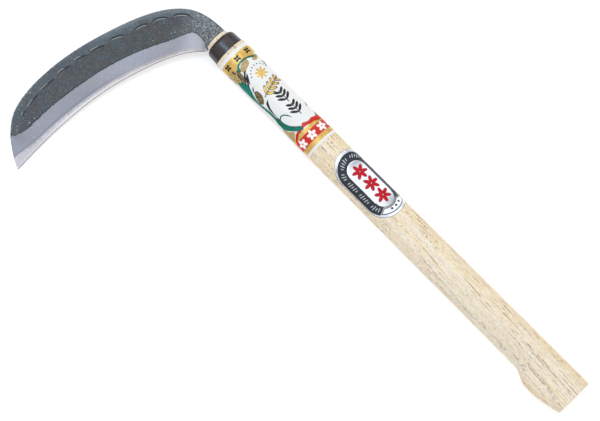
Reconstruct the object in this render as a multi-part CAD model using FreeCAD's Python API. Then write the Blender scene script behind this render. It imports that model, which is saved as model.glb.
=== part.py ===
"""A single-bevel hand sickle: a forged crescent blade whose tang is let into a wooden handle.

The tang lies in a slot sawn into the handle's cutting side. A wooden filler closes the slot, a pin crosses
the handle and the tang, and a drawn steel ferrule binds the mouth. A paper wrap covers the slot and the pin,
and a foil sticker sits on the grip. Nothing moves.

Frame: millimetres. The origin is the centre of the butt's end face. +X runs along the handle towards the
blade, +Y towards the cutting side, and +Z out of the bevelled face. The blade lies along the XY plane.
"""

import FreeCAD
import Part
import math
import os
from BOPTools import SplitAPI

V = FreeCAD.Vector

# Handle: an oval stick that swells a little towards the butt.
HANDLE_LENGTH = 400.0
BUTT_HALF_WIDTH = 15.7
HEAD_HALF_WIDTH = 14.8
OVALITY = 0.83  # thickness over width
GRIP_SQUARENESS = 2.3  # 2 is an ellipse, and higher is boxier
BUTT_CHAMFER = 0.6

# The finger stop at the butt, on the cutting side only.
STOP_START = 49.0
STOP_CREST = 33.0
STOP_PEAK = 25.0
STOP_HEIGHT = 5.5
STOP_FALL = 4.7
STOP_FALL_POWER = 1.3
STOP_SQUARENESS = 5.0
STOP_STATION_GAP = 3.0
FACET_START_Y = 11.8  # where the slanting cut crosses the butt's face
FACET_SPREAD = 19.0  # degrees away from the handle's axis, seen from above
FACET_STEEPNESS = 60.0  # degrees from the XY plane

# Ferrule: a short drawn ring with a rounded shoulder, and the wood that it grips.
FERRULE_START = 384.0
FERRULE_LENGTH = 13.0
FERRULE_WALL = 0.9
FERRULE_BASE_HALF_WIDTH = 14.2
FERRULE_SHOULDER_HALF_WIDTH = 13.6
FERRULE_TOP_HALF_WIDTH = 11.1
FERRULE_SHOULDER_LENGTH = 3.4
FERRULE_SHOULDER_TURN = 78.0  # degrees of the rounding that the shoulder shows
FERRULE_SQUARENESS = 2.15
MOUTH_BASE_HALF_WIDTH = 10.9
MOUTH_HALF_WIDTH = 10.0

# Blade curves, from the handle's mouth to the tip, as (x, y).
SPINE = [(400.3, -9.6), (411, -9.0), (422, -6.9), (432, -2.6), (440, 3.8), (449, 14.8), (459, 33.5),
         (468, 57.8), (475, 82), (479.4, 107), (480.5, 128), (478.6, 147), (473.4, 161), (463.5, 172.6)]
SPINE_TIP = [(463.5, 172.6), (457, 177.6), (449, 182.6), (440.4, 187.0)]
BEVEL_START_Y = 11.2  # on the heel's straight end, from the first point of SPINE to the first of EDGE
BEVEL_LINE = [(404.5, 8.8), (411, 7.9), (417.4, 9.4), (420.4, 14), (425, 24.5), (433, 40.4), (442, 61.5),
              (448.6, 84), (453.4, 108), (456.4, 131), (457.4, 152), (459.4, 166), (463.5, 172.6)]
EDGE = [(399.3, 12.2), (406.4, 20), (415.4, 34), (425, 57), (432.6, 82), (437.4, 107), (439.8, 132),
        (440.5, 150), (440.3, 168)]
EDGE_TIP = [(440.3, 168), (439.9, 178), (439.6, 186.8)]

# Blade thickness, measured up from the flat back.
BLADE_BACK_Z = -2.0
NECK_THICKNESS = 4.0
TIP_THICKNESS = 2.4
EDGE_THICKNESS = 0.25

# Steel forge-welded to the back of the blade, along the edge.
STEEL_THICKNESS = 0.75
STEEL_WIDTH = 21.0

# Tang, and the slot it lies in.
TANG_END_X = 312.0
TANG_THICKNESS = 4.0
TANG_MOUTH_LOW_Y = -9.0
TANG_MOUTH_HIGH_Y = 8.0
TANG_END_LOW_Y = -4.5
TANG_END_HIGH_Y = 3.5
SLOT_CLEARANCE = 0.15
SLOT_END_GAP = 3.0

# Pin through the handle and the tang.
PIN_X = 345.0
PIN_Y = -1.0
PIN_RADIUS = 1.7
PIN_HOLE_RADIUS = 1.75
PIN_RECESS = 0.3

# Filler strip that closes the slot beside the tang.
FILLER_END_X = 381.6
FILLER_CLEARANCE = 0.1
FILLER_RECESS = 0.05

# Paper wrap and foil sticker.
WRAP_START_X = 278.0
WRAP_END_X = 381.2
WRAP_THICKNESS = 0.15
STICKER_CENTRE_X = 229.2
STICKER_LENGTH = 65.6
STICKER_HEIGHT = 37.4  # measured round the handle
STICKER_OFFSET = -6.5  # of its middle, round the handle from +Z towards +Y
STICKER_THICKNESS = 0.12

SECTION_POINTS = 48


def smoothstep(t):
    t = min(1.0, max(0.0, t))
    return t * t * (3 - 2 * t)


def grip_half_width(x):
    """The handle's half width on the side without the finger stop."""
    return BUTT_HALF_WIDTH + (HEAD_HALF_WIDTH - BUTT_HALF_WIDTH) * x / FERRULE_START


def stop_height(x):
    """How far the finger stop stands out of the grip's own outline."""
    rise = STOP_HEIGHT * smoothstep((STOP_START - x) / (STOP_START - STOP_CREST))
    fall = STOP_FALL * max(0.0, 1 - x / STOP_PEAK) ** STOP_FALL_POWER
    return rise - fall


def oval_point(turn, x, low, high, thick, low_n, high_n):
    """A point of a rounded section. The two sides of the Z axis may differ in width and squareness."""
    c, s = math.cos(turn), math.sin(turn)
    width, n = (high, high_n) if c >= 0 else (low, low_n)
    radius = ((abs(c) / width) ** n + (abs(s) / thick) ** n) ** (-1 / n)
    return V(x, radius * c, radius * s)


def oval(x, low, high=None, thick=None, low_n=GRIP_SQUARENESS, high_n=None):
    """A closed section at x, as a wire. All sections share their parameters, so that lofts stay simple."""
    high = low if high is None else high
    thick = low * OVALITY if thick is None else thick
    high_n = low_n if high_n is None else high_n
    turns = [math.pi * (1 + 2 * i / SECTION_POINTS) for i in range(SECTION_POINTS)]
    curve = Part.BSplineCurve()
    points = [oval_point(t, x, low, high, thick, low_n, high_n) for t in turns]
    shared = [i / SECTION_POINTS for i in range(SECTION_POINTS + 1)]
    curve.interpolate(Points=points, PeriodicFlag=True, Parameters=shared)
    return Part.Wire([curve.toShape(q / 4, (q + 1) / 4) for q in range(4)])


def handle_section(x, grow=0.0):
    """The handle's section at x, grown outwards by grow."""
    side = grip_half_width(x)
    boxy = smoothstep((STOP_START + 2 - x) / (STOP_START - STOP_CREST))
    return oval(
        x,
        side + grow,
        side + stop_height(x) + grow,
        side * OVALITY + grow,
        GRIP_SQUARENESS,
        GRIP_SQUARENESS + (STOP_SQUARENESS - GRIP_SQUARENESS) * boxy,
    )


def loft(sections, ruled=False):
    return Part.makeLoft(sections, True, ruled)


def shaft(start, end, grow=0.0):
    """The straight, tapered part of the handle between two stations, grown outwards by grow."""
    return loft([handle_section(start, grow), handle_section(end, grow)], ruled=True)


def ferrule_section(x, half_width, inset):
    return oval(x, half_width - inset, thick=half_width * OVALITY - inset, low_n=FERRULE_SQUARENESS)


def ferrule_body(inset=0.0):
    """The ferrule's outer form, or the space inside it where inset is its wall."""
    shoulder_start = FERRULE_START + FERRULE_LENGTH - FERRULE_SHOULDER_LENGTH
    sleeve = loft(
        [
            ferrule_section(FERRULE_START, FERRULE_BASE_HALF_WIDTH, inset),
            ferrule_section(shoulder_start, FERRULE_SHOULDER_HALF_WIDTH, inset),
        ],
        ruled=True,
    )
    rings = []
    for i in range(7):
        turn = math.radians(FERRULE_SHOULDER_TURN) * i / 6
        drop = (FERRULE_SHOULDER_HALF_WIDTH - FERRULE_TOP_HALF_WIDTH) * (1 - math.cos(turn))
        drop /= 1 - math.cos(math.radians(FERRULE_SHOULDER_TURN))
        along = FERRULE_SHOULDER_LENGTH * math.sin(turn) / math.sin(math.radians(FERRULE_SHOULDER_TURN))
        rings.append(ferrule_section(shoulder_start + along, FERRULE_SHOULDER_HALF_WIDTH - drop, inset))
    return sleeve.fuse(loft(rings))


def make_ferrule():
    return ferrule_body().cut(ferrule_body(FERRULE_WALL))


def stop_facet(side):
    """The block that a slanting cut takes off the finger stop, at the butt. side is +1 or -1."""
    spread, steep = math.radians(FACET_SPREAD), math.radians(FACET_STEEPNESS)
    ahead = V(math.cos(spread), math.sin(spread), 0)
    across = V(-math.sin(spread), math.cos(spread), 0)
    outward = across * math.sin(steep) + V(0, 0, side * math.cos(steep))
    start = V(0, FACET_START_Y, side * BUTT_HALF_WIDTH * OVALITY)
    block = Part.makeBox(60, 60, 30, V(-30, -30, 0))
    block.Placement = FreeCAD.Placement(start, FreeCAD.Rotation(ahead, ahead.cross(outward), outward, "ZXY"))
    return block


def make_handle(slot, pin_hole):
    chamfer = loft([handle_section(0, -BUTT_CHAMFER), handle_section(BUTT_CHAMFER)], ruled=True)
    stop_end = STOP_START + STOP_STATION_GAP
    steps = int(stop_end / STOP_STATION_GAP)
    stations = [BUTT_CHAMFER] + [stop_end * i / steps for i in range(1, steps + 1)]
    stop = loft([handle_section(x) for x in stations])
    mouth_start = FERRULE_START + FERRULE_LENGTH
    mouth = loft(
        [
            oval(mouth_start, MOUTH_BASE_HALF_WIDTH, low_n=FERRULE_SQUARENESS),
            oval(HANDLE_LENGTH, MOUTH_HALF_WIDTH, low_n=FERRULE_SQUARENESS),
        ],
        ruled=True,
    )
    wood = shaft(stop_end, FERRULE_START).fuse([stop, chamfer, ferrule_body(FERRULE_WALL), mouth])
    return wood.cut([stop_facet(1), stop_facet(-1), slot, pin_hole])


def chord_parameters(points):
    """Where each point lies along a curve, from 0 to 1, by straight distance."""
    at = [0.0]
    for (x0, y0), (x1, y1) in zip(points, points[1:]):
        at.append(at[-1] + math.hypot(x1 - x0, y1 - y0))
    return [a / at[-1] for a in at]


def blade_curve(points, start_height, end_height):
    """An edge through the points, whose height above the flat back changes evenly from start to end."""
    at = chord_parameters(points)
    high = [BLADE_BACK_Z + start_height + (end_height - start_height) * a for a in at]
    curve = Part.BSplineCurve()
    curve.interpolate(Points=[V(x, y, z) for (x, y), z in zip(points, high)], Parameters=at)
    return curve.toShape()


def line(start, end):
    return Part.makeLine(start, end)


def ends(edge):
    return edge.valueAt(edge.FirstParameter), edge.valueAt(edge.LastParameter)


def heel_point(y):
    """The point at y on the straight end that the blade has at the handle's mouth."""
    (x0, y0), (x1, y1) = SPINE[0], EDGE[0]
    return (x0 + (x1 - x0) * (y - y0) / (y1 - y0), y)


def make_blade_blank():
    """The whole blade in one piece, iron and steel, from the mouth to the tip."""
    spine_back = [blade_curve(p, 0, 0) for p in (SPINE, SPINE_TIP)]
    edge_back = [blade_curve(p, 0, 0) for p in (EDGE, EDGE_TIP)]
    spine_front = [
        blade_curve(SPINE, NECK_THICKNESS, TIP_THICKNESS),
        blade_curve(SPINE_TIP, TIP_THICKNESS, EDGE_THICKNESS * 1.5),
    ]
    bevel = blade_curve([heel_point(BEVEL_START_Y)] + BEVEL_LINE, NECK_THICKNESS, TIP_THICKNESS)
    edge_front = [blade_curve(p, EDGE_THICKNESS, EDGE_THICKNESS) for p in (EDGE, EDGE_TIP)]

    heel_back = line(ends(spine_back[0])[0], ends(edge_back[0])[0])
    tip_back = line(ends(spine_back[1])[1], ends(edge_back[1])[1])
    back = Part.Face(Part.Wire(Part.sortEdges(spine_back + edge_back + [heel_back, tip_back])[0]))
    faces = [
        back,
        Part.makeRuledSurface(spine_front[0], bevel),
        Part.makeRuledSurface(bevel, edge_front[0]),
        Part.makeRuledSurface(spine_front[1], edge_front[1]),
    ]
    for low, high in zip(spine_back + edge_back, spine_front + edge_front):
        faces.append(Part.makeRuledSurface(low, high))
    corners = [ends(e)[0] for e in (spine_back[0], spine_front[0], bevel, edge_front[0], edge_back[0])]
    faces.append(Part.Face(Part.makePolygon(corners + corners[:1])))
    tip = [ends(spine_back[1])[1], ends(spine_front[1])[1], ends(edge_front[1])[1], ends(edge_back[1])[1]]
    faces.append(Part.Face(Part.makePolygon(tip + tip[:1])))
    shell = Part.makeShell(faces)
    shell.sewShape()
    solid = Part.makeSolid(shell)
    if solid.Volume < 0:
        solid.reverse()
    return solid


def prism(points, low_z, high_z):
    """A straight block standing on a closed outline in the XY plane."""
    wire = Part.makePolygon([V(x, y, low_z) for x, y in points + points[:1]])
    return Part.Face(wire).extrude(V(0, 0, high_z - low_z))


def tang_outline(grow=0.0, end_gap=0.0):
    """The tang's outline from the mouth to its end, grown by grow, with end_gap more at the end."""
    mouth = HANDLE_LENGTH + 1.0
    return [
        (mouth, TANG_MOUTH_LOW_Y - grow),
        (mouth, TANG_MOUTH_HIGH_Y + grow),
        (TANG_END_X - end_gap, TANG_END_HIGH_Y + grow),
        (TANG_END_X - end_gap, TANG_END_LOW_Y - grow),
    ]


def make_steel_zone():
    """The thin layer at the blade's back, along the edge, that the steel takes."""
    edge = EDGE + EDGE_TIP[1:]
    inner = [(x + STEEL_WIDTH * 0.86, y - STEEL_WIDTH * 0.5) for x, y in EDGE[1:]]
    curve = Part.BSplineCurve()
    curve.interpolate([V(x, y, BLADE_BACK_Z - 1) for x, y in inner])
    outer = [V(x - 3, y, BLADE_BACK_Z - 1) for x, y in (edge[0], edge[-1])]
    start, end = curve.StartPoint, curve.EndPoint
    beyond = V(end.x + 10, SPINE_TIP[-1][1] + 5, BLADE_BACK_Z - 1)
    rim = [curve.toShape(), line(end, beyond), line(beyond, V(outer[1].x, beyond.y, beyond.z))]
    rim += [line(V(outer[1].x, beyond.y, beyond.z), outer[0]), line(outer[0], start)]
    return Part.Face(Part.Wire(rim)).extrude(V(0, 0, 1 + STEEL_THICKNESS))


def make_filler(slot):
    """The strip that fills the slot between the tang and the handle's surface."""
    beside_tang = prism(
        [
            (FILLER_END_X, -BUTT_HALF_WIDTH),
            (FILLER_END_X, 30),
            (TANG_END_X - SLOT_END_GAP, 30),
            (TANG_END_X - SLOT_END_GAP, -BUTT_HALF_WIDTH),
        ],
        -TANG_THICKNESS / 2 - SLOT_CLEARANCE + FILLER_CLEARANCE,
        TANG_THICKNESS / 2 + SLOT_CLEARANCE - FILLER_CLEARANCE,
    )
    tang_room = prism(tang_outline(SLOT_CLEARANCE, SLOT_END_GAP), -10, 10)
    surface = shaft(TANG_END_X - 20, FERRULE_START, -FILLER_RECESS)
    return beside_tang.common(slot).common(surface).cut(tang_room)


def make_slot():
    """The slot sawn in from the cutting side, with its floor along the tang."""
    mouth = HANDLE_LENGTH + 1.0
    outline = [
        (mouth, TANG_MOUTH_LOW_Y - SLOT_CLEARANCE),
        (mouth, 30),
        (TANG_END_X - SLOT_END_GAP, 30),
        (TANG_END_X - SLOT_END_GAP, TANG_END_LOW_Y - SLOT_CLEARANCE),
    ]
    half = TANG_THICKNESS / 2 + SLOT_CLEARANCE
    return prism(outline, -half, half)


def make_wrap():
    inner = shaft(WRAP_START_X - 20, FERRULE_START)
    return shaft(WRAP_START_X, WRAP_END_X, WRAP_THICKNESS).cut(inner)


def turn_at(x, arc):
    """The turn at which the handle's surface is arc away from its top, measured round it towards +Y."""
    side = grip_half_width(x)
    step = math.radians(-0.5 if arc > 0 else 0.5)
    turn, gone = math.pi / 2, 0.0
    here = oval_point(turn, x, side, side, side * OVALITY, *2 * [GRIP_SQUARENESS])
    while gone < abs(arc):
        ahead = oval_point(turn + step, x, side, side, side * OVALITY, *2 * [GRIP_SQUARENESS])
        reach = ahead.distanceToPoint(here)
        share = min(1.0, (abs(arc) - gone) / reach)
        gone, turn, here = gone + reach, turn + step * share, ahead
    return turn


def sticker_rim(scale):
    """The sticker's outline, as a closed wire on an oval that is scale times the handle's."""
    straight = STICKER_LENGTH - STICKER_HEIGHT
    radius = STICKER_HEIGHT / 2
    points = []
    for i in range(48):
        turn = 2 * math.pi * (i + 0.5) / 48
        x = STICKER_CENTRE_X + math.copysign(straight / 2, math.cos(turn)) + radius * math.cos(turn)
        side = grip_half_width(x) * scale
        round_by = turn_at(x, STICKER_OFFSET + radius * math.sin(turn))
        points.append(oval_point(round_by, x, side, side, side * OVALITY, *2 * [GRIP_SQUARENESS]))
    curve = Part.BSplineCurve()
    curve.interpolate(points, PeriodicFlag=True)
    return curve.toShape()


def make_sticker():
    around = (STICKER_CENTRE_X - STICKER_LENGTH, STICKER_CENTRE_X + STICKER_LENGTH)
    sleeve = shaft(*around, STICKER_THICKNESS).cut(shaft(*around))
    cutter = Part.makeRuledSurface(sticker_rim(0.7), sticker_rim(1.3))
    pieces = SplitAPI.slice(sleeve, [cutter], "Split").Solids
    return min(pieces, key=lambda piece: piece.Volume)


def make_pin():
    half = OVALITY * grip_half_width(PIN_X) - PIN_RECESS
    return Part.makeCylinder(PIN_RADIUS, 2 * half, V(PIN_X, PIN_Y, -half))


def check(name, shape):
    print(f"{name:14s} valid {shape.isValid()} solids {len(shape.Solids)} volume {shape.Volume:.1f} mm3")


def build():
    pin_hole = Part.makeCylinder(PIN_HOLE_RADIUS, 60, V(PIN_X, PIN_Y, -30))
    slot = make_slot()
    blank = make_blade_blank()
    tang = prism(tang_outline(), BLADE_BACK_Z, BLADE_BACK_Z + TANG_THICKNESS).cut(pin_hole)
    steel_zone = make_steel_zone()
    return {
        "blade_iron": blank.cut(steel_zone).fuse(tang),
        "edge_steel": blank.common(steel_zone),
        "handle": make_handle(slot, pin_hole),
        "ferrule": make_ferrule(),
        "tang_pin": make_pin(),
        "slot_filler": make_filler(slot),
        "paper_wrap": make_wrap(),
        "foil_sticker": make_sticker(),
    }


os.makedirs("parts", exist_ok=True)
for node, shape in build().items():
    check(node, shape)
    shape.exportStep(f"parts/{node}.step")
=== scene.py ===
"""The looks of the hand sickle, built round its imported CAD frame.

The handle, the ferrule, the pin and the filler are the frame's own meshes with better materials. The blade's
iron, the steel along its edge, the paper wrap and the foil sticker are dense meshes made here, on the same
surfaces. Lengths are in millimetres until a mesh is made.
"""

import math
from functools import reduce

import bmesh
import bpy
import numpy as np
from mathutils import Matrix, Vector, noise


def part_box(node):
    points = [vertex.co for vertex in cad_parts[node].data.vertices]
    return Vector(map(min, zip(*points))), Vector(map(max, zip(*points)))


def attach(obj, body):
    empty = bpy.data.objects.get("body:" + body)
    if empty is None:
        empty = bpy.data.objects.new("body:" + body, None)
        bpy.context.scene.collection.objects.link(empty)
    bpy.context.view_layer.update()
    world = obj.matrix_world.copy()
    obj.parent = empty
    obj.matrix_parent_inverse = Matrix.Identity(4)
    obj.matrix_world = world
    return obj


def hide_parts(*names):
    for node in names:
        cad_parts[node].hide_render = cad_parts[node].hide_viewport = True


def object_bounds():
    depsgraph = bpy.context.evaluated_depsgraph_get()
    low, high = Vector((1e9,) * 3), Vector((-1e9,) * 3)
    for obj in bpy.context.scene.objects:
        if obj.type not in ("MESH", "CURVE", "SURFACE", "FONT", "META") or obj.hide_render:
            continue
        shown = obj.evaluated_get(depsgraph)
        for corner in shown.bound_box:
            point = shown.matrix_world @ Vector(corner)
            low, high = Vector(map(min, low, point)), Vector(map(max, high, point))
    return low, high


MM = 0.001
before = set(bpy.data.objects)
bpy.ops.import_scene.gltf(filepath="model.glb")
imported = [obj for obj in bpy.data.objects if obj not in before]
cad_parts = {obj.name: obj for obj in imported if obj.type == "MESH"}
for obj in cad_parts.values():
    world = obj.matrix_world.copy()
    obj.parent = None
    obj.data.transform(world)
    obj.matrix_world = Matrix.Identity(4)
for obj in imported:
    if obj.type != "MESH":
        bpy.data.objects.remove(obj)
cad_box = [list(corner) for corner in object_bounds()]
FERRULE_ENDS = [corner[0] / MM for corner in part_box("ferrule")]

# The blade's curves and heights, as the CAD has them.
SPINE = [
    (400.3, -9.6), (411, -9.0), (422, -6.9), (432, -2.6), (440, 3.8), (449, 14.8), (459, 33.5), (468, 57.8),
    (475, 82), (479.4, 107), (480.5, 128), (478.6, 147), (473.4, 161), (463.5, 172.6),
]
SPINE_TIP = [(463.5, 172.6), (457, 177.6), (449, 182.6), (440.4, 187.0)]
BEVEL_LINE = [
    (399.346, 11.2), (404.5, 8.8), (411, 7.9), (417.4, 9.4), (420.4, 14), (425, 24.5), (433, 40.4),
    (442, 61.5), (448.6, 84), (453.4, 108), (456.4, 131), (457.4, 152), (459.4, 166), (463.5, 172.6),
]
EDGE = [
    (399.3, 12.2), (406.4, 20), (415.4, 34), (425, 57), (432.6, 82), (437.4, 107), (439.8, 132), (440.5, 150),
    (440.3, 168),
]
EDGE_TIP = [(440.3, 168), (439.9, 178), (439.6, 186.8)]
BACK_Z = -2.0
STEEL_Z = -1.25  # the top of the steel layer under the iron
EDGE_Z = -1.75
NECK_THICKNESS = 4.0
TIP_THICKNESS = 2.4
TIP_END_THICKNESS = 0.375
TIP_EASE = 1.5  # how much faster the tip thins at its start than on average
STEEL_SHIFT = (18.06, -10.5)  # from the edge to the far side of the steel on the back
TANG = [(401, -9), (401, 8), (312, 3.5), (312, -4.5)]

# The handle's section: a superellipse whose half width tapers towards the blade.
BUTT_HALF_WIDTH = 15.7
HEAD_HALF_WIDTH = 14.8
HEAD_X = 384.0
OVALITY = 0.83  # thickness over width
SQUARENESS = 2.3  # 2 is an ellipse, and higher is boxier


# ---- curves and surfaces


def arc_lengths(points):
    """How far along a line of points each of them is."""
    return np.concatenate([[0], np.cumsum(np.hypot(*np.diff(points, axis=0).T))])


def spline_at(points, shares):
    """The natural cubic spline through points, at shares of its chord length."""
    points = np.array(points, float)
    knots = arc_lengths(points)
    knots /= knots[-1]
    gaps = np.diff(knots)
    count = len(points)
    system, right = np.eye(count), np.zeros((count, 2))
    for i in range(1, count - 1):
        system[i, i - 1 : i + 2] = gaps[i - 1], 2 * (gaps[i - 1] + gaps[i]), gaps[i]
        right[i] = 6 * ((points[i + 1] - points[i]) / gaps[i] - (points[i] - points[i - 1]) / gaps[i - 1])
    bend = np.linalg.solve(system, right)
    shares = np.asarray(shares, float)
    i = np.clip(np.searchsorted(knots, shares, side="right") - 1, 0, count - 2)
    gap = gaps[i][:, None]
    before, after = (shares - knots[i])[:, None], (knots[i + 1] - shares)[:, None]
    return (
        bend[i] * after**3 / (6 * gap)
        + bend[i + 1] * before**3 / (6 * gap)
        + (points[i] / gap - bend[i] * gap / 6) * after
        + (points[i + 1] / gap - bend[i + 1] * gap / 6) * before
    )


def unit_oval():
    """The handle's section at half width 1: the turn from +Z towards +Y, the arc from the top, y and z."""
    turn = np.radians(np.linspace(-180, 180, 3601))
    y, z = np.sin(turn), np.cos(turn)
    radius = (abs(y) ** SQUARENESS + abs(z / OVALITY) ** SQUARENESS) ** (-1 / SQUARENESS)
    y, z = y * radius, z * radius
    arc = arc_lengths(np.column_stack([y, z]))
    return arc - np.interp(0, turn, arc), y, z


OVAL_ARC, OVAL_Y, OVAL_Z = unit_oval()
OVAL_TOP = abs(OVAL_ARC) <= OVAL_ARC[-1] / 2


def half_width(x):
    return BUTT_HALF_WIDTH + (HEAD_HALF_WIDTH - BUTT_HALF_WIDTH) * x / HEAD_X


def on_handle(x, arc, lift):
    """Points on the handle at x and at arc round it from the top towards +Y, lifted off the surface."""
    side = half_width(x)
    at = arc / side
    y, z = np.interp(at, OVAL_ARC, OVAL_Y), np.interp(at, OVAL_ARC, OVAL_Z)
    ny = np.sign(y) * abs(y) ** (SQUARENESS - 1)
    nz = np.sign(z) * abs(z / OVALITY) ** (SQUARENESS - 1) / OVALITY
    size = np.hypot(ny, nz)
    return np.stack([x, side * y + lift * ny / size, side * z + lift * nz / size], -1)


def arc_of(x, y):
    """The arc from the handle's top to the point of its upper half that is at y."""
    side = half_width(x)
    return np.interp(y / side, OVAL_Y[OVAL_TOP], OVAL_ARC[OVAL_TOP]) * side


def smoothstep(low, high, value):
    share = np.clip((value - low) / (high - low), 0, 1)
    return share * share * (3 - 2 * share)


def grid_faces(rows, columns, start=0, closed=False):
    """Quads between neighbouring rows and columns of a grid of vertices."""
    faces = []
    for r in range(rows - 1):
        for c in range(columns if closed else columns - 1):
            ahead = (c + 1) % columns
            near, far = start + r * columns, start + (r + 1) * columns
            faces.append((near + c, near + ahead, far + ahead, far + c))
    return faces


def walls(line, depth):
    """Quads between a line of vertices and the vertices that are depth further on in the list."""
    return [(a, b, b + depth, a + depth) for a, b in zip(line, line[1:])]


def add_object(name, data):
    thing = bpy.data.objects.new(name, data)
    bpy.context.scene.collection.objects.link(thing)
    return thing


MERGE_GAP = 0.002
SHORTEST_EDGE = 0.0005
FAR_AWAY = 1e3  # further than any distance to a printed shape


def make_piece(name, points, faces, layers, merge=False, sharp=40.0):
    """A mesh object from points in millimetres, with one float attribute for each layer."""
    mesh = bpy.data.meshes.new(name)
    mesh.from_pydata((np.asarray(points) * MM).tolist(), [], faces)
    for layer, values in layers.items():
        attribute = mesh.attributes.new(layer, "FLOAT", "POINT")
        attribute.data.foreach_set("value", np.asarray(values, np.float32).ravel())
    work = bmesh.new()
    work.from_mesh(mesh)
    if merge:
        bmesh.ops.remove_doubles(work, verts=work.verts, dist=MERGE_GAP * MM)
        bmesh.ops.dissolve_degenerate(work, edges=work.edges, dist=SHORTEST_EDGE * MM)
    bmesh.ops.recalc_face_normals(work, faces=work.faces)
    work.to_mesh(mesh)
    work.free()
    mesh.shade_smooth()
    mesh.set_sharp_from_angle(angle=math.radians(sharp))
    return add_object(name, mesh)


# ---- signed distances for printed shapes


def ellipse(p, centre, radii, turn=0.0):
    """An oval with its first radius turned by so many degrees from the X axis."""
    c, s = math.cos(math.radians(turn)), math.sin(math.radians(turn))
    q = p - centre
    q = np.stack([q[..., 0] * c + q[..., 1] * s, q[..., 1] * c - q[..., 0] * s], -1) / radii
    return (np.hypot(q[..., 0], q[..., 1]) - 1) * min(radii)


def stroke(p, path):
    """A line along path, whose points are (x, s, half width)."""
    best = np.full(p.shape[:-1], FAR_AWAY)
    for (ax, ay, aw), (bx, by, bw) in zip(path, path[1:]):
        along, span = p - (ax, ay), np.array([bx - ax, by - ay], float)
        share = np.clip(along @ span / (span @ span), 0, 1)
        reach = np.linalg.norm(along - share[..., None] * span, axis=-1)
        best = np.minimum(best, reach - (aw + (bw - aw) * share))
    return best


def band(value, low, high):
    return np.maximum(low - value, value - high)


def stadium(p, centre, half_length, radius):
    q = abs(p - centre)
    q[..., 0] = np.maximum(q[..., 0] - (half_length - radius), 0)
    return np.hypot(q[..., 0], q[..., 1]) - radius


def smooth_loop(points, steps=5):
    """A smooth closed line through points."""
    points = np.array(points, float)
    a, b, c, d = (np.roll(points, shift, axis=0)[:, None] for shift in (1, 0, -1, -2))
    t = (np.arange(steps) / steps)[None, :, None]
    curve = 2 * b + (c - a) * t + (2 * a - 5 * b + 4 * c - d) * t**2 + (3 * b - a - 3 * c + d) * t**3
    return curve.reshape(-1, 2) / 2


def inside_loop(p, corners):
    inside = np.zeros(p.shape[:-1], bool)
    for (ax, ay), (bx, by) in zip(corners, np.roll(corners, -1, axis=0)):
        if ay != by:
            at = ax + (p[..., 1] - ay) * (bx - ax) / (by - ay)
            inside ^= ((ay > p[..., 1]) != (by > p[..., 1])) & (p[..., 0] < at)
    return inside


def region(p, points):
    """The area inside a smooth closed line through points."""
    loop = smooth_loop(points)
    closed = [(x, y, 0.0) for x, y in [*loop, loop[0]]]
    return stroke(p, closed) * np.where(inside_loop(p, loop), -1, 1)


def circle(p, centre, radius):
    return ellipse(p, centre, (radius, radius))


def step_at(angle):
    """A step of length 1 at an angle from the X axis."""
    return np.array([math.cos(angle), math.sin(angle)])


def blossom(p, centre, radius, petals, turn, plump=0.28):
    """A ring of petals, each standing clear of the middle. plump is half a petal's width over the radius."""
    radii = (0.42 * radius, plump * radius)
    turns = [math.radians(turn) + 2 * math.pi * i / petals for i in range(petals)]
    return union(*(ellipse(p, centre + 0.56 * radius * step_at(t), radii, math.degrees(t)) for t in turns))


def leaf_spray(p, start, end, leaves, length, width, spread):
    """A stem from start to end with pairs of leaves that lean forwards."""
    start, end = np.array(start, float), np.array(end, float)
    heading = math.atan2(*(end - start)[::-1])
    best = stroke(p, [(*start, 0.4), (*end, 0.25)])
    for i in range(leaves):
        root = start + (end - start) * (i + 0.55) / (leaves + 0.35)
        size = length * (1 - 0.35 * i / leaves)
        for side in (-1, 1):
            angle = heading + side * math.radians(spread)
            middle = root + 0.55 * size * step_at(angle)
            best = np.minimum(best, ellipse(p, middle, (size / 2, width / 2), math.degrees(angle)))
    return best


def union(*shapes):
    return reduce(np.minimum, shapes)


# ---- materials


INK_BLUR = 0.12  # half the width of a printed outline's soft edge


def srgb(red, green, blue):
    def linear(value):
        value /= 255
        return value / 12.92 if value <= 0.04045 else ((value + 0.055) / 1.055) ** 2.4

    return (linear(red), linear(green), linear(blue), 1.0)


class Nodes:
    """A node tree. Its methods take sockets or plain values, and return sockets."""

    def __init__(self, tree):
        self.tree = tree

    def set(self, node, inputs):
        for key, value in inputs.items():
            key = key if isinstance(key, int) else key.replace("_", " ")
            if isinstance(value, bpy.types.NodeSocket):
                self.tree.links.new(value, node.inputs[key])
            else:
                node.inputs[key].default_value = value

    def node(self, kind, inputs, out=0, **settings):
        node = self.tree.nodes.new("ShaderNode" + kind)
        for key, value in settings.items():
            setattr(node, key, value)
        self.set(node, inputs)
        return node.outputs[out]

    def math(self, operation, a, b=0.0, **settings):
        return self.node("Math", {0: a, 1: b}, operation=operation, **settings)

    def times(self, a, b, **settings):
        return self.math("MULTIPLY", a, b, **settings)

    def plus(self, a, b):
        return self.math("ADD", a, b)

    def minus(self, a, b):
        return self.math("SUBTRACT", a, b)

    def larger(self, a, b):
        return self.math("MAXIMUM", a, b)

    def size(self, value):
        return self.math("ABSOLUTE", value)

    def scaled(self, vector, scale):
        return self.node("VectorMath", {0: vector, 1: scale}, operation="MULTIPLY")


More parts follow.
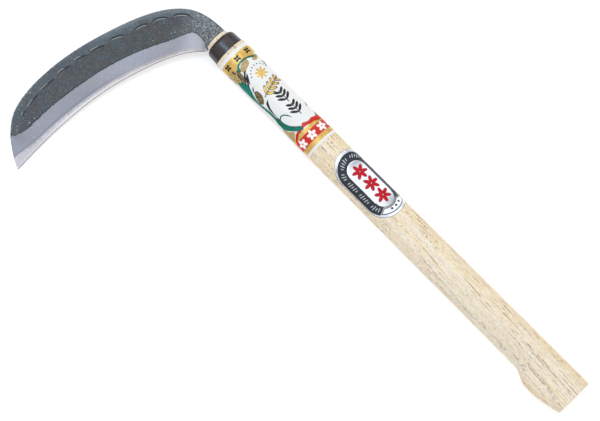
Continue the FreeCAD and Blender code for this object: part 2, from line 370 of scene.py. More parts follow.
class Look(Nodes):
    """A procedural material. mm is the place on the object in millimetres."""

    def __init__(self, name, **inputs):
        self.material = bpy.data.materials.new(name)
        self.material.use_nodes = True
        super().__init__(self.material.node_tree)
        self.shader = self.tree.nodes["Principled BSDF"]
        self.set(self.shader, inputs)
        self.mm = self.scaled(self.node("TexCoord", {}, out="Object"), (1 / MM,) * 3)

    def finish(self, **inputs):
        self.set(self.shader, inputs)
        return self.material

    def axis(self, which):
        """The place along X, Y or Z, for 0, 1 or 2."""
        return self.node("SeparateXYZ", {0: self.mm}, out=which)

    def attribute(self, name):
        return self.node("Attribute", {}, out="Fac", attribute_name=name)

    def texture(self, kind, vector, scale, out, inputs, **settings):
        """A texture whose scale is one number, or a tuple with one for each axis."""
        if isinstance(scale, tuple):
            vector, scale = self.scaled(vector, scale), 1.0
        return self.node(kind, {"Vector": vector, "Scale": scale, **inputs}, out=out, **settings)

    def noise(self, vector, scale, detail=3.0, roughness=0.55, distortion=0.0):
        inputs = {"Detail": detail, "Roughness": roughness, "Distortion": distortion}
        return self.texture("TexNoise", vector, scale, "Fac", inputs)

    def cells(self, vector, scale, **settings):
        return self.texture("TexVoronoi", vector, scale, "Distance", {}, **settings)

    def ramp(self, value, low, high, to_low=0.0, to_high=1.0):
        """value taken smoothly from the range low to high to another range."""
        inputs = {"Value": value, "From Min": low, "From Max": high, "To Min": to_low, "To Max": to_high}
        return self.node("MapRange", inputs, interpolation_type="SMOOTHSTEP")

    def mix(self, share, a, b):
        """Two colours, each a socket or (red, green, blue) from 0 to 255."""
        a, b = (srgb(*colour) if isinstance(colour, tuple) else colour for colour in (a, b))
        return self.node("Mix", {0: share, 6: a, 7: b}, out=2, data_type="RGBA")

    def over(self, colour, *layers):
        """Each layer, a share and a colour, over the last."""
        for share, above in layers:
            colour = self.mix(share, colour, above)
        return colour

    def bump(self, height, distance, strength=1.0, normal=None):
        inputs = {"Height": height, "Distance": distance * MM, "Strength": strength}
        if normal is not None:
            inputs["Normal"] = normal
        return self.node("Bump", inputs)

    def printed(self, colour, *layers):
        """Each layer over the last. A layer is the attribute with its signed distance, and a colour."""
        shares = [self.ramp(self.attribute(name), INK_BLUR, -INK_BLUR) for name, ink in layers]
        return self.over(colour, *((share, ink) for share, (name, ink) in zip(shares, layers)))


GRAIN_SLANT = math.radians(3)  # the grain runs out towards the cutting side at the butt
# Pores of the wood: the scale along the grain, the scale across it, and how dark they are.
PORE_ROWS = [(0.004, 0.56, 1.0), (0.006, 0.70, 0.95), (0.009, 0.62, 0.9), (0.012, 0.80, 0.85)]
PORE_DASHES = [(0.30, 2.0, 0.5), (0.38, 2.4, 0.5)]


def beech():
    look = Look("beech", Specular_IOR_Level=0.3)
    grain = look.node("VectorRotate", {"Vector": look.mm, "Angle": GRAIN_SLANT}, rotation_type="Z_AXIS")
    bands = look.noise(grain, (0.010, 0.13, 0.13), detail=4, distortion=0.5)
    fine = look.noise(grain, (0.12, 1.4, 1.4))
    warm = look.noise(grain, (0.008, 0.22, 0.22))
    along, side = look.axis(0), look.axis(1)
    golden = look.plus(look.ramp(along, 130.0, 215.0, 0, 0.10), look.ramp(along, 55.0, 15.0, 0, 0.06))
    dips = 0.0
    for lengthwise, across, strength in PORE_ROWS:
        row = look.cells(grain, (lengthwise, across, across))
        dips = look.larger(dips, look.ramp(row, 0.215, 0.14, 0.0, strength))
    parts = look.noise(grain, (0.46, 1.3, 1.3), detail=0)
    dips = look.times(dips, look.ramp(parts, 0.47, 0.50))
    for lengthwise, across, strength in PORE_DASHES:
        dash = look.cells(grain, (lengthwise, across, across))
        dips = look.larger(dips, look.ramp(dash, 0.28, 0.18, 0.0, strength))
    colour = look.over(
        (244, 232, 210),
        (look.ramp(bands, 0.36, 0.66), (236, 222, 197)),
        (look.ramp(look.plus(warm, golden), 0.46, 0.72, 0, 0.7), (246, 224, 182)),
        # Painted shade: darker and yellower towards the -Y side.
        (look.ramp(side, -4.0, -13.0, 0, 0.5), (236, 212, 166)),
        (look.ramp(fine, 0.48, 0.70, 0, 0.7), (220, 197, 163)),
        (look.ramp(fine, 0.46, 0.30, 0, 0.6), (253, 246, 230)),
        (dips, (112, 62, 24)),
    )
    height = look.minus(fine, look.times(dips, 0.3))
    rough = look.ramp(fine, 0.3, 0.8, 0.5, 0.64)
    return look.finish(Base_Color=colour, Roughness=rough, Normal=look.bump(height, 0.05, 0.4))


def dark_ferrule():
    """Dark lacquer with faint rings from drawing, with painted shade that makes it blackest along both rims.
    """
    look = Look("dark_ferrule", Specular_IOR_Level=0.35, Coat_Weight=0.6, Coat_Roughness=0.2)
    rings = look.noise(look.mm, (4.0, 0.05, 0.05), detail=2)
    along = look.axis(0)
    low, high = FERRULE_ENDS
    # Painted shade along both rims.
    rims = look.larger(look.ramp(along, low + 1.6, low + 0.4), look.ramp(along, high - 1.8, high - 0.6))
    colour = look.over(
        (28, 22, 25),
        (look.ramp(look.noise(look.mm, 0.25, detail=4), 0.35, 0.7), (46, 33, 34)),
        (look.times(rims, 0.9), (6, 4, 6)),
    )
    rough = look.ramp(rings, 0.3, 0.7, 0.42, 0.52)
    return look.finish(Base_Color=colour, Roughness=rough, Normal=look.bump(rings, 0.03, 0.6))


def ground_steel():
    look = Look("ground_steel", Metallic=1.0)
    strokes = look.noise(look.mm, (0.10, 2.6, 0.4), detail=4, distortion=0.3)
    colour = look.mix(look.ramp(strokes, 0.35, 0.7), (214, 213, 216), (196, 195, 200))
    rough = look.ramp(look.noise(look.mm, 0.09, detail=2), 0.3, 0.7, 0.30, 0.42)
    return look.finish(Base_Color=colour, Roughness=rough, Normal=look.bump(strokes, 0.02, 0.35))


def keen_steel():
    """Polished hard steel, whiter just inside the edge from its polish and a painted sheen, darker towards the
    tip from painted shade, and with painted shade along the edge itself, which shows as a thin dark line.
    """
    look = Look("keen_steel", Metallic=1.0)
    edge = look.attribute("edge_mm")
    across = look.node("CombineXYZ", {"X": look.attribute("along_mm"), "Y": look.attribute("strip_mm")})
    hatch = look.noise(across, (0.5, 0.3, 1), detail=4, roughness=0.65, distortion=0.3)
    colour = look.over(
        (190, 184, 182),
        (look.ramp(hatch, 0.32, 0.70), (178, 172, 171)),
        # Whiter just inside the edge: partly its polish, partly a painted sheen.
        (look.ramp(edge, 3.2, 0.8), (213, 205, 201)),
        # Darker towards the tip: painted shade.
        (look.ramp(look.axis(1), 110.0, 186.0, 0, 0.75), (168, 158, 160)),
        # The edge itself as a thin dark line: painted shade.
        (look.ramp(edge, 0.70, 0.34, 0.0, 0.9), (92, 88, 94)),
    )
    rough = look.ramp(hatch, 0.3, 0.7, 0.36, 0.42)
    return look.finish(Base_Color=colour, Roughness=rough, Normal=look.bump(hatch, 0.02, 0.3))


def scale_colour(look, ledge, spine):
    """Black oxide in brown, green and blue greys, paler between the spine and the hammered ledge."""
    patches = look.noise(look.mm, 0.085, distortion=0.5)
    drift = look.noise(look.scaled(look.mm, (0.8, 1.3, 1.0)), 0.11, detail=4, roughness=0.6)
    fine = look.noise(look.mm, 0.55, detail=5, roughness=0.72)
    grit = look.noise(look.mm, 0.8, detail=4, roughness=0.75)
    coarse = look.noise(look.mm, 0.5, roughness=0.8)
    tipward, neck, fleck = (look.attribute(name) for name in ("tipward", "neck", "fleck"))
    inner = look.over(
        (67, 64, 64),
        (look.ramp(patches, 0.42, 0.60), (57, 63, 65)),
        (look.ramp(drift, 0.49, 0.60), (60, 72, 79)),
        (look.times(tipward, 0.5), (72, 76, 82)),
    )
    # Paler near the spine towards the heel: a painted sheen.
    near_heel = look.times(look.attribute("heelward"), look.ramp(spine, 5.0, 1.0))
    outer = look.over(
        (76, 82, 87),
        (look.ramp(drift, 0.40, 0.62), (82, 97, 106)),
        (look.times(tipward, 0.75), (72, 79, 86)),
        (look.times(near_heel, 0.75), (118, 126, 132)),
    )
    mostly_neck = look.times(neck, 0.85)
    specks = look.times(look.ramp(grit, 0.55, 0.64), look.plus(look.times(neck, 0.8), 0.12))
    holes = look.times(look.ramp(grit, 0.48, 0.38), look.plus(look.times(neck, 0.8), 0.2))
    rim = look.times(look.ramp(spine, 2.6, 0.6), look.times(tipward, look.ramp(grit, 0.52, 0.60)))
    glint_share = look.ramp(look.plus(fleck, look.times(grit, 1.6)), 1.35, 1.6)
    colour = look.over(
        outer,
        (look.ramp(look.plus(ledge, look.times(fine, 2.0)), 0.2, 1.8), inner),
        (look.ramp(fine, 0.50, 0.66, 0, 0.5), (44, 46, 48)),
        (look.ramp(fine, 0.46, 0.34, 0, 0.3), (106, 112, 116)),
        # Paler at the neck: partly the pitted iron's own colour, partly a painted sheen.
        (look.times(neck, 0.7), (130, 136, 140)),
        (look.times(look.ramp(coarse, 0.50, 0.60), mostly_neck), (52, 54, 56)),
        # Painted shade along the rounded spine at the neck.
        (look.times(look.ramp(spine, 1.4, 0.5), mostly_neck), (38, 40, 44)),
        (specks, (180, 184, 182)),
        (holes, (26, 26, 27)),
        # Light specks along the spine towards the tip, and the bright flecks: painted glints.
        (rim, (158, 164, 168)),
        (look.times(glint_share, look.times(fleck, 1.4, use_clamp=True)), (206, 208, 202)),
    )
    return colour, fine, grit


def ground_colour(look, along, bevel):
    """Bare iron with fine marks of the stone across it, with a painted sheen at the heel and a band of painted
    shade just before the steel.
    """
    across = look.node("CombineXYZ", {"X": along, "Y": bevel})
    hatch = look.noise(across, (2.0, 0.16, 1), detail=4, roughness=0.65, distortion=0.3)
    cloud = look.noise(across, (0.05, 0.14, 1), detail=2)
    steel, tipward = look.attribute("steel_mm"), look.attribute("tipward")
    # A band of painted shade just before the steel, towards the tip.
    painted_shade_band = look.times(look.ramp(look.size(look.minus(steel, 2.2)), 1.9, 0.1), tipward)
    colour = look.over(
        (167, 166, 173),
        (look.ramp(hatch, 0.32, 0.70), (147, 147, 155)),
        (look.ramp(cloud, 0.4, 0.7, 0, 0.4), (148, 154, 166)),
        (look.times(tipward, 0.55), (124, 120, 124)),
        (look.times(painted_shade_band, 0.5), (118, 113, 124)),
        (look.ramp(steel, 2.0, 0.0), (188, 182, 180)),
        # Painted sheen at the heel.
        (look.attribute("heel"), (228, 231, 236)),
    )
    return colour, hatch


def forged_iron():
    """Forge scale on the face, a ground bevel towards the edge, and a ragged line between them."""
    look = Look("forged_iron")
    bevel, spine, along = look.attribute("bevel_mm"), look.attribute("spine_mm"), look.attribute("along_mm")
    ledge = look.attribute("ledge_mm")
    torn = look.noise(look.mm, 0.5, detail=5, roughness=0.75)
    past_line = look.plus(bevel, look.times(look.minus(torn, 0.5), look.attribute("ragged_mm")))
    scale = look.ramp(past_line, -0.15, 0.15)
    ground = look.minus(1.0, scale)

    dark, fine, grit = scale_colour(look, ledge, spine)
    groove_and_shade = look.times(look.ramp(look.size(ledge), 1.0, 0.35), look.attribute("ledge_shade"))
    shine = look.times(look.ramp(look.size(look.attribute("glint_mm")), 0.36, 0.05), look.attribute("glint"))
    lip = look.ramp(look.size(look.minus(past_line, 0.45)), 0.85, 0.15)
    dark = look.over(
        dark,
        # Painted shade along each hammered step, and a painted glint beside it.
        (look.times(groove_and_shade, 0.92), (10, 13, 15)),
        (look.times(shine, 0.85), (184, 190, 192)),
        (look.times(lip, 0.7), (26, 30, 32)),
    )
    bright, hatch = ground_colour(look, along, bevel)
    colour = look.mix(scale, bright, dark)
    rough = look.plus(look.times(scale, look.ramp(fine, 0.3, 0.7, 0.44, 0.60)),
                      look.times(ground, look.ramp(hatch, 0.3, 0.7, 0.36, 0.46)))
    pits = look.times(look.plus(fine, look.times(grit, 0.5)), scale)
    normal = look.bump(look.times(hatch, ground), 0.03, 0.4, look.bump(pits, 0.30, 0.8))
    return look.finish(Base_Color=colour, Roughness=rough, Metallic=ground, Normal=normal)


def printed_paper():
    """Glossy paper, with metallic ink where it is gold, slightly creased."""
    look = Look("printed_paper", Specular_IOR_Level=0.3, Coat_Weight=0.05, Coat_Roughness=0.25)
    swirl = look.cells(look.mm, 0.72, feature="DISTANCE_TO_EDGE")
    gold = look.mix(look.ramp(look.noise(look.mm, 0.3), 0.35, 0.7), (222, 184, 100), (200, 160, 78))
    brown = look.mix(look.ramp(swirl, 0.05, 0.2), (66, 54, 34), (152, 130, 88))
    tan = look.mix(look.ramp(swirl, 0.04, 0.12), (142, 112, 62), (206, 178, 120))
    teal = look.mix(look.ramp(look.noise(look.mm, 0.13), 0.40, 0.62), (0, 101, 80), (0, 124, 108))
    colour = look.printed(
        (234, 233, 229),
        ("tan_mm", tan),
        ("gold_mm", gold),
        ("brown_mm", brown),
        ("teal_mm", teal),
        ("red_mm", (205, 34, 8)),
        ("ink_mm", (20, 24, 26)),
        ("pale_mm", (252, 246, 240)),
        ("seam_mm", (238, 226, 224)),
    )
    metal = look.times(look.ramp(look.attribute("gold_mm"), 0.1, -0.1), 0.45)
    metal = look.times(metal, look.ramp(look.attribute("ink_mm"), -0.1, 0.1))
    crease = look.noise(look.mm, (0.05, 0.22, 0.22))
    height = look.plus(crease, look.times(look.noise(look.mm, 2.2, detail=2), 0.08))
    rough = look.ramp(crease, 0.3, 0.7, 0.34, 0.46)
    normal = look.bump(height, 0.35, 0.35)
    return look.finish(Base_Color=colour, Metallic=metal, Roughness=rough, Normal=normal)


def printed_foil():
    """Silver foil, less metallic under its inks."""
    look = Look("printed_foil", Specular_IOR_Level=0.15)
    cloud = look.noise(look.mm, 0.12, detail=2)
    silver = look.mix(look.ramp(cloud, 0.35, 0.7), (236, 238, 242), (212, 215, 222))
    panel = look.mix(look.attribute("shade"), (248, 247, 250), (176, 180, 188))
    colour = look.printed(
        silver,
        ("black_mm", (53, 56, 61)),
        ("white_mm", panel),
        ("line_mm", (48, 50, 56)),
        ("bead_mm", (196, 202, 206)),
        ("outline_mm", (110, 44, 52)),
        ("red_mm", (198, 10, 32)),
    )
    metal = look.ramp(look.attribute("ink_mm"), 0.1, -0.1, 0.8, 0.0)
    crease = look.noise(look.mm, (0.09, 0.2, 0.2), detail=2)
    rough = look.ramp(crease, 0.3, 0.7, 0.26, 0.36)
    normal = look.bump(crease, 0.3, 0.4)
    return look.finish(Base_Color=colour, Metallic=metal, Roughness=rough, Normal=normal)


def floor_paint():
    look = Look("floor_paint", Specular_IOR_Level=0.1, Emission_Color=(1, 1, 1, 1), Emission_Strength=0.46)
    grain = look.noise(look.mm, 0.05)
    colour = look.mix(grain, (217, 217, 217), (219, 219, 219))
    return look.finish(Base_Color=colour, Roughness=look.ramp(grain, 0.3, 0.7, 0.85, 0.95))


# ---- the blade

# Where the hammer left a ledge inside the spine: from and to along the spine, how far in at each end, and
# how much nearer to the spine in the middle.
HAMMER_MARKS = [
    (30.3, 49.0, 5.6, 6.0, 1.3), (51.7, 67.7, 7.2, 6.8, 1.3), (69.9, 84.4, 8.0, 8.2, 1.2),
    (92.0, 106.5, 8.8, 6.8, 0.8), (110.5, 124.0, 9.4, 7.6, 0.7), (127.5, 139.5, 9.0, 7.0, 0.6),
    (143.5, 157.5, 8.9, 7.4, 0.4), (161.5, 177.0, 8.8, 8.0, 0.1), (180.0, 196.5, 8.7, 8.5, 0.1),
    (200.5, 206.0, 8.0, 7.6, 0.1),
]
LEDGE_DROP = 0.30
LEDGE_WIDTH = 3.5  # the face rises again over about this far
FIRST_OUTER_GLINT = 108.0  # the marks beyond this catch the light on their outer side
# Small painted glints on the scale: place and radius.
FLECKS = [
    (469.1, 123.1, 0.75), (477.4, 136.8, 0.8), (476.8, 147.3, 0.8), (474.8, 149.0, 0.6), (469.4, 151.6, 0.8),
    (460.2, 167.0, 0.7), (461.5, 168.6, 0.6), (459.6, 148.6, 0.7), (459.8, 154.0, 0.7), (452.2, 95.0, 0.6),
    (424.2, -3.3, 0.9), (425.6, -2.2, 0.6), (439.7, 20.5, 0.8), (455.9, 54.3, 0.6), (435.6, 36.8, 0.9),
    (434.6, 33.4, 0.7), (429.6, 22.2, 0.9), (428.4, 19.6, 0.6), (446.4, 66.0, 0.5), (447.5, 71.5, 0.4),
    (477.6, 130.5, 0.7), (477.0, 134.0, 0.5), (478.0, 143.2, 0.6), (473.2, 152.6, 0.5), (466.0, 155.0, 0.6),
    (465.4, 163.4, 0.6), (463.0, 165.6, 0.6), (458.4, 168.4, 0.5), (452.6, 163.6, 0.6), (449.6, 156.0, 0.5),
    (433.5, 35.5, 0.5), (430.7, 30.6, 0.5), (429.4, 28.1, 0.5), (428.3, 25.4, 0.45), (424.9, 23.0, 0.4),
    (426.3, 18.9, 0.5), (442.9, 57.6, 0.45), (438.0, 49.0, 0.5), (440.1, 53.4, 0.45),
]
HEEL = (401.0, 11.0)
NECK = (404.0, -2.0)
SPINE_ROUND = 0.55  # radii of the spine's corners
BACK_ROUND = 0.35
NEAR_SPINE = [0.0, 0.010, 0.022, 0.038, 0.060, 0.085]  # closer columns at the spine, as shares of the face
FACE_STATIONS = 400
TIP_STATIONS = 44
FACE_COLUMNS = 54
BEVEL_COLUMNS = 28
STRIP_COLUMNS = 12
UNDER_IRON = 0.03  # the gap between the two metals where the iron covers the steel
STEEL_TUCK = 0.4  # how far the steel's top goes on under the iron
FAN_STATIONS = 8  # where the steel's far side on the back turns out to the tip
UNSEEN = 9.0  # a distance for the surfaces that a pattern doesn't reach


def nearest_on_spine(p):
    """For each point, how far along the spine its nearest point is, and how far away that is."""
    tip = spline_at(SPINE_TIP, np.linspace(0, 1, 80))[1:]
    curve = np.vstack([spline_at(SPINE, np.linspace(0, 1, 600)), tip])
    gaps = np.hypot(p[:, None, 0] - curve[:, 0], p[:, None, 1] - curve[:, 1])
    nearest = gaps.argmin(axis=1)
    return arc_lengths(curve)[nearest], gaps[np.arange(len(p)), nearest]


def hammer_ledge(s, depth):
    """How far each point is inside the ledge, and the strength of its hammered dip, with its painted shade,
    and of its painted glint there.
    """
    at, inset = [0.0], [HAMMER_MARKS[0][2]]
    groove_and_shade, glint = np.zeros(len(s)), np.zeros(len(s))
    for start, end, inset_start, inset_end, bulge in HAMMER_MARKS:
        share = np.linspace(0, 1, 15)
        at += list(start + (end - start) * share)
        inset += list(inset_start + (inset_end - inset_start) * share - 4 * bulge * share * (1 - share))
        share = (s - start) / (end - start)
        groove_and_shade += smoothstep(-0.04, 0.22, share) * smoothstep(1.04, 0.8, share)
        if start < FIRST_OUTER_GLINT:
            glint += smoothstep(0.12, 0.35, share) * smoothstep(0.95, 0.7, share)
        else:
            glint += smoothstep(0.42, 0.6, share) * smoothstep(1.06, 0.92, share)
    return depth - np.interp(s, at, inset), np.clip(groove_and_shade, 0, 1), np.clip(glint, 0, 1)


def steel_far_side(stations):
    """The far side of the steel on the flat back, before it turns out to the tip."""
    return spline_at(np.array(EDGE[1:]) + STEEL_SHIFT, np.linspace(0, 1, stations))


def steel_zone():
    """An outline round the steel on the flat back, with room beside the edge and beyond the tip."""
    far = steel_far_side(60)
    near_heel, beyond_tip = (EDGE[0][0] - 3, EDGE[0][1]), (EDGE_TIP[-1][0] - 3, SPINE_TIP[-1][1] + 5)
    return np.array([near_heel, *far, (far[-1][0] + 10, beyond_tip[1]), beyond_tip])


def blade_lines(tip_shares):
    """The spine, the bevel line, the edge and the face's height, at stations from the heel to the tip."""
    shares = np.linspace(0, 1, FACE_STATIONS)
    spine, line, edge = (spline_at(c, shares) for c in (SPINE, BEVEL_LINE, EDGE))
    tip_spine, tip_edge = spline_at(SPINE_TIP, tip_shares), spline_at(EDGE_TIP, tip_shares)
    top = BACK_Z + NECK_THICKNESS + (TIP_THICKNESS - NECK_THICKNESS) * shares
    thinned = TIP_EASE * tip_shares - (TIP_EASE - 1) * tip_shares**2
    tip_top = BACK_Z + TIP_THICKNESS + (TIP_END_THICKNESS - TIP_THICKNESS) * thinned
    return (np.vstack([spine, tip_spine]), np.vstack([line, tip_spine]), np.vstack([edge, tip_edge]),
            np.concatenate([top, tip_top]))


def blade_grid():
    """Rows over the iron's top, and how far along the blade each row is.

    A row has x, y, the height, and the distances from the bevel line and from the spine.
    """
    face = np.concatenate([NEAR_SPINE, np.linspace(0.11, 1, FACE_COLUMNS - len(NEAR_SPINE))])
    ground = np.linspace(0, 1, BEVEL_COLUMNS + 1)[1:]
    thinned = (STEEL_Z - BACK_Z - TIP_THICKNESS) / (TIP_END_THICKNESS - TIP_THICKNESS)
    run_out = (TIP_EASE - math.sqrt(TIP_EASE**2 - 4 * (TIP_EASE - 1) * thinned)) / (2 * (TIP_EASE - 1))
    spine, line, edge, top = blade_lines(np.linspace(0, run_out, TIP_STATIONS)[1:])
    iron = (top - STEEL_Z) / (top - EDGE_Z)
    rows = []
    for s, l, e, z, reach in zip(spine, line, edge, top, iron):
        width, slope = np.linalg.norm(l - s), np.linalg.norm(e - l)
        upper = s + (l - s) * face[:, None]
        lower = l + (e - l) * (ground * reach)[:, None]
        heights = np.concatenate([np.full(len(face), z), z + (EDGE_Z - z) * ground * reach])
        to_line = np.concatenate([width * (1 - face), -slope * ground * reach])
        rows.append(np.column_stack([np.vstack([upper, lower]), heights, to_line, width - to_line]))
    return np.array(rows), arc_lengths((line + edge) / 2)


def fractal(xy, scale, height, fall, growth):
    """Noise of three octaves over the plane that cuts it at this height."""
    return np.array([noise.fractal((x * scale, y * scale, height), fall, growth, 3) for x, y in xy])


def rounding(radius, inward):
    """How far a corner of this radius drops, this far in from the side."""
    near = np.clip(radius - inward, 0, radius)
    return radius - np.sqrt(radius**2 - near**2)


def make_blade():
    rows, along = blade_grid()
    stations, columns = rows.shape[:2]
    flat = rows.reshape(-1, 5)
    xy, top, to_line, from_spine = flat[:, :2], flat[:, 2].copy(), flat[:, 3], flat[:, 4]
    along = np.repeat(along, columns)
    to_steel = (rows[..., 3] - rows[:, -1:, 3]).ravel()

    s, depth = nearest_on_spine(xy)
    ledge, groove_and_shade, glint = hammer_ledge(s, depth)
    on_face = smoothstep(0.0, 2.0, to_line)
    from_neck = np.hypot(*((xy - NECK) * (1, 0.8)).T)
    neck = smoothstep(34.0, 8.0, from_neck) * smoothstep(-1.0, 1.0, to_line)
    waves, grit = fractal(xy, 0.09, 3.1, 1.0, 2.0), fractal(xy, 0.55, 7.7, 0.8, 2.1)
    step = smoothstep(-0.45, 0.45, ledge) * np.exp(-np.clip(ledge, 0, None) / LEDGE_WIDTH)
    top -= on_face * LEDGE_DROP * (0.35 + 0.65 * groove_and_shade) * step * smoothstep(20, 32, s)
    top += on_face * (0.08 * waves + (0.03 + 0.11 * neck) * grit)
    top += 0.02 * waves * (1 - on_face) * smoothstep(-1.0, -4.0, to_line) * smoothstep(0.3, 3.0, to_steel)
    top -= rounding(SPINE_ROUND, from_spine)
    top = np.where(top < STEEL_Z + 0.002, STEEL_Z, top)
    bottom = np.minimum(np.where(inside_loop(xy, steel_zone()), STEEL_Z, BACK_Z), top)
    low_round = np.where(bottom < STEEL_Z, rounding(BACK_ROUND, from_spine), 0)

    count = len(xy)
    tang = [(x, y, z) for z in (BACK_Z, BACK_Z + NECK_THICKNESS) for x, y in TANG]
    points = np.vstack([np.column_stack([xy, top]), np.column_stack([xy, bottom + low_round]), tang])
    faces = grid_faces(stations, columns) + grid_faces(stations, columns, count)
    spine_side, steel_side = (range(j, count, columns) for j in (0, columns - 1))
    for side in (spine_side, steel_side, range(columns)):
        faces += walls(side, count)
    corners = [2 * count + i for i in range(len(TANG))]
    faces += [tuple(corners), tuple(c + len(TANG) for c in corners), *walls(corners + corners[:1], len(TANG))]

    def layer(front, back=0.0, on_tang=0.0):
        return np.concatenate([front, np.broadcast_to(back, count), np.full(len(tang), on_tang)])

    glint_spots = [np.exp(-((xy - (x, y)) ** 2).sum(axis=1) / radius**2) for x, y, radius in FLECKS]
    layers = {
        "bevel_mm": layer(to_line, UNSEEN, UNSEEN),
        "spine_mm": layer(from_spine, from_spine, UNSEEN),
        "along_mm": layer(along, along),
        "steel_mm": layer(to_steel, UNSEEN, UNSEEN),
        "ledge_mm": layer(ledge, UNSEEN, UNSEEN),
        "glint_mm": layer(ledge - np.where(s < FIRST_OUTER_GLINT, 1.05, -0.75), UNSEEN, UNSEEN),
        "neck": layer(neck, neck, 1.0),
        # Painted sheen on the bevel at the heel.
        "heel": layer(0.33 * smoothstep(28, 2, np.hypot(*(xy - HEEL).T))),
        "heelward": layer(smoothstep(130, 95, s)),
        "tipward": layer(smoothstep(60, 110, xy[:, 1])),
        "ragged_mm": layer(2.0 + 4.5 * smoothstep(118, 172, xy[:, 1])),
        # Painted shade along the hammered ledge, and a painted glint beside it.
        "ledge_shade": layer(groove_and_shade * on_face),
        "glint": layer(glint * on_face),
        # Painted glints on the scale.
        "fleck": layer(0.9 * np.max(glint_spots, axis=0)),
    }
    return make_piece("forged_blade", points, faces, layers, merge=True)


def make_edge():
    """The hard steel: its strip beside the iron, its edge, and what it covers of the back."""
    spine, line, edge, top = blade_lines(np.linspace(0, 1, 2 * TIP_STATIONS)[1:])
    main = FACE_STATIONS
    border = line + (edge - line) * np.clip((top - STEEL_Z) / (top - EDGE_Z), 0, 1)[:, None]
    far = steel_far_side(main)
    fan = far[-1] + (spine[main] - far[-1]) * np.linspace(0, 1, FAN_STATIONS + 1)[1:, None]
    far = np.vstack([far, fan, spine[main:]])
    border, edge, line, top = (
        np.concatenate([curve[:main], np.repeat(curve[main - 1 : main], FAN_STATIONS, axis=0), curve[main:]])
        for curve in (border, edge, line, np.minimum(top, STEEL_Z))
    )
    across = np.linspace(0, 1, STRIP_COLUMNS)[None, :, None]
    inner = np.column_stack([border, top])[:, None]
    outer = np.column_stack([edge, np.full(len(edge), EDGE_Z)])[:, None]
    strip = inner + (outer - inner) * across
    room = np.maximum(np.linalg.norm(line - border, axis=1), 1e-6)
    tucked = border + (line - border) * np.minimum(0.5, STEEL_TUCK / room)[:, None]
    flat, under = np.full(len(edge), BACK_Z), top - UNDER_IRON
    back = [np.column_stack(pair) for pair in ((edge, flat), (far, flat), (far, under), (tucked, under))]
    points = np.concatenate([strip, np.stack(back, axis=1)], axis=1)
    stations, columns = points.shape[:2]
    faces = grid_faces(stations, columns, 0, True)
    faces += [tuple(range(columns)), tuple((stations - 1) * columns + c for c in range(columns))]

    width = np.linalg.norm(edge - border, axis=1)[:, None]
    hidden = np.full((stations, columns - STRIP_COLUMNS), UNSEEN)
    layers = {
        "strip_mm": np.hstack([width * across[..., 0], hidden]),
        "edge_mm": np.hstack([width * (1 - across[..., 0]), hidden]),
        "along_mm": np.repeat(arc_lengths(edge), columns),
    }
    return make_piece("keen_edge", points.reshape(-1, 3), faces, layers, merge=True, sharp=20.0)


# ---- the paper wrap

WRAP_START, WRAP_END = 278.0, 381.2
WRAP_LIFT = 0.15
WRAP_STEP = 0.5
SHEET_BASE = 0.01  # how far the underside of a printed sheet stands off the wood

# What is printed on the wrap, seen from above: outlines as (x, y), and bands as (from, to).
GOLD_BANDS = [(370.3, 378.0), (280.2, 284.2), (292.6, 296.0)]
RED_BAND = (284.2, 292.6)
GLUED_EDGE = (17.2, 21.5)  # the paper's plain edge, round the handle from the top towards +Y
ORNAMENT_GAP = 10.9  # between the ornaments round the bands
GOLD_FLOWER = (352.6, -6.2)
DOT_RING = 8.4  # how far the dots are from the flower's middle
GOLD_STEM = [(336.4, 5.2), (342.0, -12.2)]
SPRIG_STARTS = (306.6, 320.6)
SPRIG_LENGTH = 12.2
SPRIG_Y = -5.7
INK_PLUMPNESS = 1.35  # how much wider the ink strokes are printed than listed
TEAL_WAVE = [
    (360.2, 12.6), (357.6, 10), (353.4, 8.4), (348.6, 9.4), (344.4, 10.8), (338.5, 12), (333.5, 11.6),
    (326, 10.8), (318.5, 10.6), (315, 9.6), (311.5, 9.5), (306.5, 8), (302.5, 5), (299.6, 1.9), (297.2, 1.2),
    (296.2, 2.4), (297.6, 5.4), (300.6, 8.2), (304.2, 11), (308.2, 12.9), (314, 12.9), (318.6, 12.3),
    (326, 12.4), (334, 12.9), (342, 13.3), (350, 13.4), (356, 13.4),
]
TEAL_ARCH = [
    (366.2, -12.8), (368.6, -10.4), (370, -7), (370.9, -3), (370.9, 1.4), (369.2, 4.2), (366.2, 6.3),
    (364.6, 4.5), (367.6, 3.6), (369.3, 1), (369.6, -3.2), (368.7, -6.8), (367, -10.2),
]
GOLD_FILL = [
    (371, -12.4), (367.4, -11.4), (367.8, -9), (369.2, -6), (370.2, -3), (370.2, 1.2), (368.6, 4.4),
    (366, 6.4), (367.5, 7.4), (371, 6.6),
]
BROWN_LEAF = [
    (367.8, 6.6), (364.6, 5.6), (361, 5.9), (357.4, 7.4), (354.2, 9.4), (356.6, 10.3), (360.4, 9.9),
    (364.2, 8.9),
]
BROWN_SEED = [
    (345, 7.4), (342.6, 6.3), (339, 6.2), (335.8, 7.6), (333.6, 9.8), (334.6, 11.2), (338, 11.4),
    (341.6, 10.6), (344.4, 9.2),
]
TAN_BUDS = [
    [(369.4, -4.6), (366.6, -5.4), (364.6, -4.2), (363, -0.6), (362.4, 2.6), (363.6, 4.4), (366, 3.8),
     (368, 1.6), (369.4, -1.4)],
    [(368.4, -13.2), (366.4, -13.6), (364, -12.4), (363.8, -10), (365.2, -8.6), (367, -9.4), (367.8, -11.2)],
]
TAN_CORNERS = [
    [(371, 6.2), (368, 7), (364, 9), (360.5, 10.1), (358, 10.8), (359.8, 13.3), (366, 14), (371.5, 14)],
    [(308.5, 13.5), (303.6, 11.4), (299.8, 8.4), (298.2, 9.6), (295.6, 12.2), (293.4, 13.8), (300, 14.2)],
]
